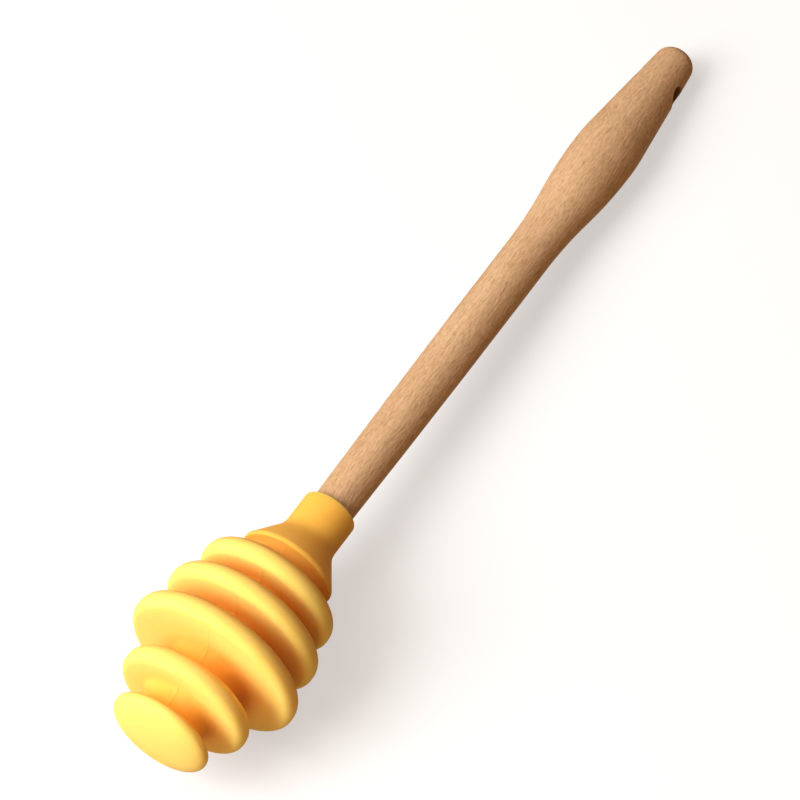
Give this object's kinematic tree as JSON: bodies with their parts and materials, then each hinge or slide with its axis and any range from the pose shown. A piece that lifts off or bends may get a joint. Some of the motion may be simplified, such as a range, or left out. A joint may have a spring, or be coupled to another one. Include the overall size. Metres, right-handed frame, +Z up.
{
  "type": "honey dipper",
  "caption": "Honey dipper with a turned wooden handle, swollen grip and hang hole, and a ridged silicone head that lifts honey and lets it drizzle.",
  "frame": {"origin": "on the surface that the dipper lies on, under the middle of its bounding box", "axes": "+X along the dipper from the head's tip towards the handle's end, +Z up from the surface, hang hole along Y"},
  "size_m": [0.218, 0.04, 0.0399],
  "materials": {
    "beech": "fine sanded, lightly oiled, short dark flecks along the grain",
    "silicone": "matte, slightly translucent yellow"
  },
  "bodies": {
    "handle": {"handle": "beech"},
    "head": {"head": "silicone"}
  },
  "joints": [
    {"name": "head_pull", "type": "slide", "parent": "handle", "child": "head", "axis": [-0.9971, 0, 0.0757], "range_m": [0, 0.06]}
  ]
}
